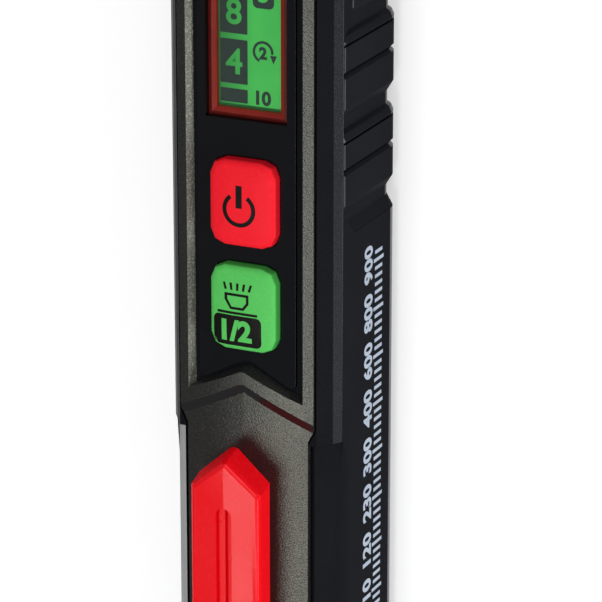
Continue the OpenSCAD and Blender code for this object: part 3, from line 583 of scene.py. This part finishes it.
class TESTER_OT_shell(bpy.types.Operator):
    """Finishes the shell, front cover, nose housing and tail cap in spark-eroded ABS"""

    bl_idname = "tester.shell"
    bl_label = "Shell and cover"

    def execute(self, context):
        sizes = context.scene.tester_sizes
        colours = context.scene.tester_colours
        grain = sizes.shell_grain
        # Injection moulded ABS from a spark-eroded mould: fine glinting grain that catches each lamp
        textured = moulded("spark_eroded_abs", colours.shell, linear("#3b3c38"), grain, relief=0.06 * MM,
                           roughness=0.24, specular=0.41, tint="#ffffee")
        # The same ABS off a smoother mould wall: softer grain and a satin look on the long bevels
        satin = moulded("fine_eroded_abs", linear("#0f1014"), linear("#17181c"), grain, relief=0.02 * MM,
                        roughness=0.5, specular=0.03)
        # Matt side walls: nearly no reflection, so that they stay dark
        matt = moulded("matt_abs", colours.side, linear("#1a1b20"), grain, relief=0.02 * MM,
                       roughness=0.6, specular=0.01)
        # The recess's left bevel: a painted highlight, in a much lighter base and fleck colour, with a coarse
        # grain that scatters light from every side
        coarse_painted_highlight = moulded("coarse_painted_highlight_abs", linear("#45453f"), linear("#a2a396"), grain, relief=0.12 * MM,
                         roughness=0.35, specular=1.0, fleck_share=0.8, tint="#fffff2")
        # The narrow strip above the grips: a bluish speckle
        speckled = moulded("speckled_abs", linear("#0e1016"), linear("#282c36"), grain, relief=0.05 * MM,
                           roughness=0.36, specular=0.1)
        # The step's ramp was polished in the mould: it mirrors the red clip
        smooth = polished("smooth_abs", linear("#161616"), linear("#1c1b1b"), roughness=0.16)
        # Edges rubbed to a gloss by the hand mirror the pale surroundings at a glance
        rubbed = moulded("rubbed_abs", colours.side, linear("#1c1d22"), grain, relief=0.01 * MM,
                         roughness=0.3, specular=1.0)

        cover = softened("front_cover", "cover_moulding", sizes.cover_edge, textured, angle=18)
        # The ramp behind the keys leans to the tail
        step_end = -16
        finish_faces(cover, smooth, lambda spot, way, area:
                     -0.45 < way.y < -0.15 and way.z > 0.85 and spot.y < step_end)
        # The recess's left bevel faces right and gets the painted highlight
        finish_faces(cover, coarse_painted_highlight, lambda spot, way, area:
                     way.x > 0.6 and way.z > 0.35 and -9 < spot.x < -7)
        # The recess's floor lies below the deck
        floor_top = 22.15
        finish_faces(cover, satin, lambda spot, way, area: way.z > 0.9 and spot.z < floor_top)

        # The body narrows at the waist; the strip lies above the grips, and its rim runs along them
        waist = -24.7
        strip_low, strip_high = 19.1, 20.2
        rim_low, rim_high = 18.9, 19.13
        grip_start, grip_end = 4, 45
        for node, name in (
            ("body_shell", "shell_moulding"), ("nose_housing", "nose_moulding"), ("tail_cap", "cap_moulding"),
        ):
            item = softened(node, name, sizes.shell_edge, textured)
            # The whole body, and the nose and cap between their end faces and flat tops
            finish_faces(item, satin, lambda spot, way, area:
                         abs(way.y) < 0.1 and way.z < 0.95 or node == "body_shell")
            # Upright side walls
            finish_faces(item, matt, lambda spot, way, area: -0.7 < way.z < 0.25 and abs(way.y) < 0.7)
            # The upper left edge behind the waist
            finish_faces(item, rubbed, lambda spot, way, area:
                         way.x < -0.5 and way.z > 0.25 and spot.y < waist)
            # The lower right edge
            finish_faces(item, rubbed, lambda spot, way, area: -0.7 < way.z < -0.02 and way.x > 0.5)
            finish_faces(item, speckled, lambda spot, way, area:
                         strip_low < spot.z < strip_high and way.z > 0.3 and spot.y > waist)
            # The strip's rim, without the long faces that run past the grips
            finish_faces(item, rubbed, lambda spot, way, area:
                         rim_low < spot.z < rim_high and way.x > 0.2
                         and grip_start < spot.y < grip_end and area < 12)
        return {"FINISHED"}


class TESTER_OT_grips(bpy.types.Operator):
    """Finishes the two ribbed side grips in soft elastomer"""

    bl_idname = "tester.grips"
    bl_label = "Side grips"

    def execute(self, context):
        colour = context.scene.tester_colours.grip
        grain = 0.4 * MM
        # Overmoulded elastomer: dull, with nearly no sheen
        soft = moulded("soft_elastomer", colour, linear("#141517"), grain, relief=0.01 * MM,
                       roughness=0.55, specular=0.015)
        # The same elastomer polished by fingers along the ribs' edges
        rubbed = moulded("rubbed_elastomer", linear("#17181b"), linear("#1d1e22"), grain, relief=0.01 * MM,
                         roughness=0.34, specular=0.4)
        # Only the ribs' long front edges are rounded: they run along the pen, outside and high up
        outside, high_up = 12.1, 15.9
        for node in ("left_grip", "right_grip"):
            item = softened(
                node, node + "_moulding", 0.3 * MM, soft, segments=3, angle=30, solid_faces=True,
                wanted=lambda spot, way: abs(way.y) > 0.95 and abs(spot.x) > outside and spot.z > high_up)
            # Small faces are the roundings; the others are the ribs' sloping fronts
            finish_faces(item, rubbed, lambda spot, way, area:
                         area < 1.3 or 0.15 < way.z < 0.97 and abs(way.x) > 0.2)
        return {"FINISHED"}


class TESTER_OT_display(bpy.types.Operator):
    """Finishes the glossy panel, window, red frame and lit display with plain marks"""

    bl_idname = "tester.display"
    bl_label = "Display"

    def execute(self, context):
        colours = context.scene.tester_colours
        depth = context.scene.tester_sizes.print_depth
        # Piano black acrylic panel: deep and mirror smooth
        piano = polished("black_acrylic", colours.panel, linear("#101114"), roughness=0.05, specular=0.3)
        softened("display_panel", "panel_moulding", 0.15 * MM, piano, segments=3)
        # Clear cast acrylic: hardly seen but for a reflection at a glance
        dress("display_window", clear_acrylic(
            "window_acrylic", linear("#f2f8f4"), linear("#101413"), roughness=0.04, body=0.02))
        # Red moulded frame under the window, given a painted glow: painted shade on its outer slopes, a
        # lighter painted highlight on its inner slopes
        painted_shade = glowing("painted_shade_red_frame", linear("#6c1312"), 0.1, 0.3, linear("#781816"))
        lit = glowing("painted_highlight_red_frame", linear("#961f1a"), 0.2, 0.3, linear("#a0261f"))
        bead = softened(
            "display_frame", "frame_moulding", 0.04 * MM, painted_shade, segments=1, angle=20)
        low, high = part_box("display_frame")
        middle = (low.y + high.y) / 2 / MM
        # Faces turned towards the display's middle get the lighter painted highlight
        finish_faces(bead, lit, lambda spot, way, area:
                     way.x * spot.x + way.y * (spot.y - middle) < -0.5)
        # Painted shade: the film's colour darkens towards its left side, as it does in the photo, where the
        # frame shades it
        film = glowing("green_display_film", colours.display, 0.35, 0.4, linear("#4cc458"), linear("#2f8a3e"))
        dress("lcd_module", film)
        # Milky acrylic looks nearly white; the rubber of the connector strips is grey and dull
        dress("backlight_plate", polished("milky_acrylic", linear("#e4efe2"), linear("#f2f7ef"), 0.35))
        dress("lcd_connector", polished("connector_rubber", linear("#c2c2bc"), linear("#8c8c88"), 0.6))
        # Display segments: dark blue-grey, slightly glossy under the glass
        segment = polished("display_segments", linear("#2b3537"), linear("#333a40"), 0.4)
        # Painted shade: a deeper green, faintly glowing strip along the film's left and bottom edges, where
        # the frame shades it
        frame_shade = glowing("display_frame_shade", linear("#26733a"), 0.2, 0.5, linear("#2b7a3f"))

        # Outlines and numerals in millimetres, x across and y along the pen
        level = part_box("lcd_module")[1].z
        left, right = -4.45, -0.5
        blocks = ((23.95, 29.95, 0.12), (30.75, 36.9, 0.12), (37.7, 42.2, 0.12), (21.4, 23.25, 0.1))
        dark = [rounded_box(left, foot, right, top, corner) for foot, top, corner in blocks]
        unit_plate = rounded_box(0.3, 34.5, 3.35, 38.4, 0.7)
        loop = arc_band(1.75, 28.65, 1.5, 1.15, 246, -8, 30)
        arrow = [(2.75, 28.3), (3.75, 28.3), (3.25, 27.2)]
        marks = flat_shape(dark + [unit_plate, loop, arrow], depth)
        place_on(marks, Matrix.Translation((0, 0, level + depth)))
        printed = numerals((("10", 1.8, 22.4, 2.0, 0.08), ("2", 1.75, 28.5, 1.7, 0.08)), depth, level + depth)
        laid("display_marks", [marks] + printed, segment, "case")
        # The painted shade strips, on the left and at the bottom
        border = (rounded_box(-5.3, 20.3, left, 43.0, 0.05), rounded_box(left, 20.3, 5.3, 21.2, 0.05))
        edge = flat_shape(border, depth)
        place_on(edge, Matrix.Translation((0, 0, level + depth / 2)))
        laid("display_frame_shades", [edge], frame_shade, "case")
        knocked_out = numerals((
            ("4", -2.45, 27.0, 3.5, 0.07), ("8", -2.45, 33.7, 3.5, 0.07), ("0", -2.45, 40.0, 3.5, 0.07),
            ("5", 1.82, 36.5, 2.4, 0.1)), depth, level + depth * 2)
        laid("display_numbers", knocked_out, film, "case")
        return {"FINISHED"}


class TESTER_OT_keys(bpy.types.Operator):
    """Finishes the red power key and the green light key with their marks"""

    bl_idname = "tester.keys"
    bl_label = "Keys"

    def execute(self, context):
        colours = context.scene.tester_colours
        depth = context.scene.tester_sizes.print_depth
        grain, relief = 0.5 * MM, 0.004 * MM
        # Moulded silicone: even colour, soft satin light
        red = moulded("red_silicone", colours.power_key, linear("#f52634"), grain, relief, 0.5, 0.08)
        green = moulded("green_silicone", colours.light_key, linear("#5fc863"), grain, relief, 0.5, 0.08)
        # Painted shade: the keys' walls get a deeper colour than their tops
        painted_shade_red = moulded(
            "painted_shade_red_silicone", linear("#d81826"), linear("#e01f2c"), grain, relief, 0.5, 0.05)
        painted_shade_green = moulded(
            "painted_shade_green_silicone", linear("#3f9f45"), linear("#48a84d"), grain, relief, 0.5, 0.05)
        # Printed ink: matt black, a touch warm
        ink = polished("black_key_ink", linear("#0c0b08"), linear("#15140f"), 0.5, 0.1)
        for node, name, top, wall, slot in (
            ("power_button", "power_key", red, painted_shade_red, "red_button"),
            ("light_button", "light_key", green, painted_shade_green, "green_button"),
        ):
            key = softened(node, name, 0.12 * MM, top, angle=40, solid_faces=True)
            # Painted shade on every face that doesn't face up
            finish_faces(key, wall, lambda spot, way, area: way.z < 0.6)

        # The power mark: a bar in the gap of an open ring, in millimetres
        across, centre = -0.31, 7.73
        ring = arc_band(across, centre, 2.4, 1.83, 125, 415, 40)
        power = flat_shape([ring, bar(across, 7.95, across, 11.05, 0.88)], depth)
        drape(power, "power_button", depth / 2)
        laid("power_mark", [power], ink, "power_key")

        # The lamp mark: a bowl over a line, rays above it and a plate with knocked-out numbers below
        bowl = [(-2.5, -4.0), (1.05, -4.0), (1.05, -5.3), (0.3, -6.25), (-1.65, -6.25), (-2.5, -4.9)]
        inner = [(-2.1, -4.35), (0.7, -4.35), (0.7, -5.15), (0.15, -5.9), (-1.45, -5.9), (-2.1, -4.85)]
        plate = rounded_box(-4.2, -11.4, 2.85, -7.1, 0.8)
        lamp = flat_shape([bowl, inner, bar(-3.6, -6.75, 2.3, -6.75, 0.34), plate], depth)
        drape(lamp, "light_button", depth / 2)
        fan = grown(rays_tree(ink), {
            "Count": 5, "Span": 3.7 * MM, "Width": 0.33 * MM, "Length": 1.0 * MM, "Lean": 0.3,
            "Depth": depth})
        place_on(fan, Matrix.Translation((-0.6 * MM, -3.05 * MM, 0)))
        drape(fan, "light_button", depth / 2)
        laid("lamp_mark", [lamp, fan], ink, "light_key")
        numbers = numerals((("1/2", -0.75, -9.25, 3.1, 0.14),), depth, 0)
        drape(numbers[0], "light_button", depth * 1.5)
        laid("lamp_numbers", numbers, green, "light_key")
        return {"FINISHED"}


class TESTER_OT_side_print(bpy.types.Operator):
    """Prints a plain numbered scale on the side"""

    bl_idname = "tester.side_print"
    bl_label = "Side print"

    def execute(self, context):
        sizes = context.scene.tester_sizes
        # Pad printed ink: pale, matt, a touch uneven
        ink = polished("pad_print_ink", context.scene.tester_colours.print_ink, linear("#9fadbd"), 0.6)
        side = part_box("body_shell")[1].x
        # Turns what lies flat upright onto the right side, to be read along the pen
        stand = Matrix(((0, 0, 1, 0), (1, 0, 0, 0), (0, 1, 0, 0), (0, 0, 0, 1)))
        foremost = -2.2 * MM
        number_line, tick_line = 10.65 * MM, 7.35 * MM
        ticks_each = 6
        step = ticks_each * sizes.tick_pitch
        meshes = []
        for words in ("900", "800", "600", "400", "300", "230", "120", "110", "48", "24"):
            mesh = digits_mesh(words, sizes.number_height, 0.1 * MM, sizes.print_depth, 1.05)
            y = foremost - len(meshes) * step
            place_on(mesh, Matrix.Translation((side, y, number_line)) @ stand)
            meshes.append(mesh)
        scale = grown(ticks_tree(ink), {
            "Count": sizes.tick_count, "Pitch": sizes.tick_pitch, "Width": 0.5 * MM, "Height": 3.2 * MM,
            "Short": 0.74, "Every": ticks_each, "Depth": sizes.print_depth})
        start = foremost - (len(meshes) - 1) * step
        place_on(scale, Matrix.Translation((side, start, tick_line)) @ stand)
        laid("side_scale", meshes + [scale], ink, "case")
        return {"FINISHED"}


class TESTER_OT_clip(bpy.types.Operator):
    """Finishes the red pocket clip"""

    bl_idname = "tester.clip"
    bl_label = "Pocket clip"

    def execute(self, context):
        colour = context.scene.tester_colours.clip
        fleck = linear("#ef1a26")
        grain, relief = 0.6 * MM, 0.004 * MM
        # Moulded acetal: bright red, satin, a soft highlight along its roof
        red = moulded("red_acetal", colour, fleck, grain, relief, roughness=0.27, specular=0.28)
        # Steep faces came off the mould's matt walls: the pale floor doesn't wash them out
        wall = moulded("matt_red_acetal", colour, fleck, grain, relief, roughness=0.6, specular=0.02)
        # Painted light: the arm's underside glows, so that it and the deck that mirrors it show red instead
        # of dark
        painted_glow = glowing("painted_glow_acetal", linear("#e3121d"), 0.6, 0.5, fleck)
        # Only the edges round the clip's head are rounded
        head_start, head_low, arm_low = -30.4, 29.2, 25
        clip = softened("pocket_clip", "clip_moulding", context.scene.tester_sizes.clip_edge, red,
                        segments=4, angle=30, solid_faces=True,
                        wanted=lambda spot, way: spot.y > head_start and spot.z > head_low)
        finish_faces(clip, wall, lambda spot, way, area: way.z < 0.7)
        finish_faces(clip, painted_glow, lambda spot, way, area: way.z < -0.9 and spot.z > arm_low)
        return {"FINISHED"}


class TESTER_OT_nose(bpy.types.Operator):
    """Finishes the light ring, cone, probe, torch and antenna"""

    bl_idname = "tester.nose"
    bl_label = "Nose"

    def execute(self, context):
        # Clear mouldings: node, finish, tint, colour, roughness and share of body
        for node, name, tint, base, roughness, body in (
            # Frosted to spread the warning light: milky, with a soft edge
            ("indicator_ring", "frosted_acrylic", "#dfe4e6", "#dfe4e6", 0.3, 0.55),
            # Polished lens: clear, with a sharp reflection
            ("torch_lens", "lens_acrylic", "#f4f8fa", "#c8ccd0", 0.05, 0.1),
            # Cast epoxy: glossy and faintly yellow or green
            ("torch_led", "led_epoxy", "#f3f2dd", "#f3f2dd", 0.1, 0.5),
            ("indicator_led", "indicator_epoxy", "#e3e8cf", "#e3e8cf", 0.1, 0.5),
        ):
            dress(node, clear_acrylic(name, linear(tint), linear(base), roughness, body))
        # Moulded ABS cone: satin, nearly black
        dress("nose_cone", moulded(
            "satin_abs", linear("#1d1e22"), linear("#2a2b2e"), 0.4 * MM, 0.01 * MM, 0.45))
        # Moulded polypropylene probe: pale grey with a waxy sheen
        dress("probe_tip", moulded(
            "pale_polypropylene", linear("#d6d8d8"), linear("#e0e1e0"), 0.6 * MM, 0.005 * MM, 0.4))
        # Stamped brass, left bare: yellowish, with fine rolling marks
        dress("sensor_antenna", metal("stamped_brass", linear("#c9a24a"), 0.3, 0.2 * MM))
        return {"FINISHED"}


class TESTER_OT_power(bpy.types.Operator):
    """Finishes the two cells, the coil and the contacts"""

    bl_idname = "tester.power"
    bl_label = "Cells and contacts"

    def execute(self, context):
        # Printed shrink film over a steel can: blue under a thin gloss
        for node in ("left_cell", "right_cell"):
            dress(node, polished(node + "_film", linear("#2b5792"), linear("#34639f"), 0.3, 0.5, 0.3))
        # Nickel over spring steel: bright, with fine rolling marks
        plated = metal("nickel_plate", linear("#cfd0d2"), 0.25, 0.2 * MM)
        dress("cell_contacts", plated)
        dress("bridge_plate", plated)
        # The middle of the coil's wire stays this far inside the ends of the CAD rings
        clear = 0.4 * MM
        low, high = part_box("cell_springs")
        coil = grown(coil_tree(plated), {
            "Turns": 3.0, "Start Radius": 2.6 * MM, "End Radius": 3.2 * MM,
            "Length": high.y - low.y - 2 * clear, "Wire": 0.7 * MM})
        turn = Matrix.Rotation(math.radians(-90), 4, "X")
        foot = ((low.x + high.x) / 2, low.y + clear, (low.z + high.z) / 2)
        place_on(coil, Matrix.Translation(foot) @ turn)
        item = laid("wound_coil", [coil], plated, "case")
        item.data.shade_smooth()
        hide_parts("cell_springs")
        return {"FINISHED"}


class TESTER_OT_electronics(bpy.types.Operator):
    """Finishes the circuit board, switches, plungers and buzzer"""

    bl_idname = "tester.electronics"
    bl_label = "Electronics"

    def execute(self, context):
        # Fibreglass board under green solder resist: smooth and glossy
        dress("circuit_board", polished("solder_resist", linear("#1f6b3a"), linear("#2a7d48"), 0.3))
        # Moulded nylon: dark and satin
        case = moulded("switch_nylon", linear("#2b2c2f"), linear("#37383b"), 0.4 * MM, 0.008 * MM, 0.5)
        # Moulded acetal: cream, slightly waxy
        pale = moulded("plunger_acetal", linear("#d8d4c4"), linear("#e2decf"), 0.4 * MM, 0.004 * MM, 0.4)
        for node in ("power_switch", "light_switch", "buzzer"):
            dress(node, case)
        for node in ("power_plunger", "light_plunger"):
            dress(node, pale)
        return {"FINISHED"}


class TESTER_OT_screws(bpy.types.Operator):
    """Finishes the two case screws"""

    bl_idname = "tester.screws"
    bl_label = "Case screws"

    def execute(self, context):
        # Zinc plated steel: grey and a little dull
        dress("case_screws", metal("zinc_plate", linear("#8f9297"), 0.35, 0.3 * MM))
        return {"FINISHED"}


class TESTER_OT_stage(bpy.types.Operator):
    """Sets the pale floor, the soft lamps and the camera"""

    bl_idname = "tester.stage"
    bl_label = "Stage"

    def execute(self, context):
        scene = context.scene
        half = 3.0
        low = -0.02 * MM
        mesh = bpy.data.meshes.new("floor")
        corners = [(-half, -half, low), (half, -half, low), (half, half, low), (-half, half, low)]
        mesh.from_pydata(corners, [], [(0, 1, 2, 3)])
        floor = link("floor", mesh)
        # Pale matt board: diffuse for the shadow, lifted to white for what is seen directly or mirrored
        material, tree, place = blank_material("pale_board")
        rays = add(tree, "ShaderNodeLightPath").outputs
        seen = add(tree, "ShaderNodeMath", {
            0: rays["Is Camera Ray"], 1: rays["Is Glossy Ray"]}, operation="MAXIMUM")
        lit = add(tree, "ShaderNodeMath", {
            0: seen.outputs[0], 1: rays["Is Transmission Ray"]}, operation="MAXIMUM")
        # The lift grows with the distance from the tester, so that its shadow stays
        distance = add(tree, "ShaderNodeVectorMath", {0: place}, operation="LENGTH")
        level = add(tree, "ShaderNodeMapRange", {
            "Value": distance.outputs["Value"], "From Min": 0.2, "From Max": 1.0,
            "To Min": 0.42, "To Max": 0.9})
        lift = add(tree, "ShaderNodeMath", {0: lit.outputs[0], 1: level.outputs[0]}, operation="MULTIPLY")
        matt = add(tree, "ShaderNodeBsdfDiffuse", {"Color": (0.74, 0.74, 0.74, 1.0)})
        glow = add(tree, "ShaderNodeEmission", {"Color": (1, 1, 1, 1), "Strength": lift.outputs[0]})
        both = add(tree, "ShaderNodeAddShader", {0: matt.outputs[0], 1: glow.outputs[0]})
        add(tree, "ShaderNodeOutputMaterial", {"Surface": both.outputs[0]})
        floor.data.materials.append(material)

        # Lamps: name, direction from the tester, distance, width, length and brightness of the panel
        centre = Vector((0.0, -4 * MM, 18 * MM))
        for name, way, reach, wide, long, brightness in (
            ("overhead_softbox", (-0.04, -0.33, 0.94), 0.7, 0.38, 0.34, 6.6),
            ("low_strip", (0.88, -0.33, 0.26), 0.8, 0.35, 0.3, 10.0),
            ("front_fill", (0.35, 0.7, 0.62), 1.0, 0.8, 0.8, 1.7),
        ):
            lamp = bpy.data.lights.new(name, "AREA")
            lamp.shape = "RECTANGLE"
            lamp.size = wide
            lamp.size_y = long
            lamp.energy = brightness * math.pi * wide * long
            item = link(name, lamp)
            direction = Vector(way).normalized()
            item.location = centre + direction * reach
            item.rotation_euler = direction.to_track_quat("Z", "Y").to_euler()

        # The room is grey for what it lights and white where it is seen
        world = bpy.data.worlds.new("studio")
        scene.world = world
        world.use_nodes = True
        tree = world.node_tree
        tree.nodes.clear()
        rays = add(tree, "ShaderNodeLightPath").outputs
        seen = add(tree, "ShaderNodeMath", {
            0: rays["Is Camera Ray"], 1: rays["Is Transmission Ray"]}, operation="MAXIMUM")
        room = add(tree, "ShaderNodeMix", {
            0: seen.outputs[0], 6: (0.2, 0.2, 0.21, 1.0), 7: (1, 1, 1, 1)}, data_type="RGBA")
        back = add(tree, "ShaderNodeBackground", {"Color": room.outputs[2]})
        add(tree, "ShaderNodeOutputWorld", {"Surface": back.outputs[0]})
        scene.view_settings.view_transform = "Standard"

        # The photo's view: the ways to the camera and to its right, and in mm its aim and its distance
        away = Vector((0.3997, 0.3299, 0.8552)).normalized()
        right = Vector((0.906, 0.0, -0.4234)).normalized()
        aim = Vector((8.25, -4.0, 23.03))
        reach = 489.3
        focal_pixels = 3707
        up = away.cross(right)
        camera = bpy.data.cameras.new("camera")
        camera.sensor_fit = "HORIZONTAL"
        camera.angle = 2 * math.atan(IMAGE_SIDE / 2 / focal_pixels)
        item = link("camera", camera)
        item.location = aim * MM + away * reach * MM
        item.rotation_mode = "QUATERNION"
        item.rotation_quaternion = Matrix((right, up, away)).transposed().to_quaternion()
        scene.camera = item
        return {"FINISHED"}


OPERATORS = (
    TESTER_OT_shell,
    TESTER_OT_grips,
    TESTER_OT_display,
    TESTER_OT_keys,
    TESTER_OT_side_print,
    TESTER_OT_clip,
    TESTER_OT_nose,
    TESTER_OT_power,
    TESTER_OT_electronics,
    TESTER_OT_screws,
    TESTER_OT_stage,
)


class TESTER_PT_sidebar(bpy.types.Panel):
    """Lists the finishing steps"""

    bl_idname = "TESTER_PT_sidebar"
    bl_label = "Voltage tester"
    bl_space_type = "VIEW_3D"
    bl_region_type = "UI"
    bl_category = "Tester"

    def draw(self, context):
        for group in (context.scene.tester_sizes, context.scene.tester_colours):
            for name in group.__annotations__:
                self.layout.prop(group, name)
        for step in OPERATORS:
            self.layout.operator(step.bl_idname)


CLASSES = (TesterSizes, TesterColours) + OPERATORS + (TESTER_PT_sidebar,)


def register():
    """Registers the classes and hangs their sizes and colours on the scene."""
    for item in CLASSES:
        bpy.utils.register_class(item)
    bpy.types.Scene.tester_sizes = PointerProperty(type=TesterSizes)
    bpy.types.Scene.tester_colours = PointerProperty(type=TesterColours)


def unregister():
    """Takes them off again."""
    del bpy.types.Scene.tester_colours
    del bpy.types.Scene.tester_sizes
    for item in reversed(CLASSES):
        bpy.utils.unregister_class(item)


def main():
    """Runs the finishing steps in order."""
    register()
    for step in OPERATORS:
        group, name = step.bl_idname.split(".")
        getattr(getattr(bpy.ops, group), name)()


if __name__ == "__main__":
    main()
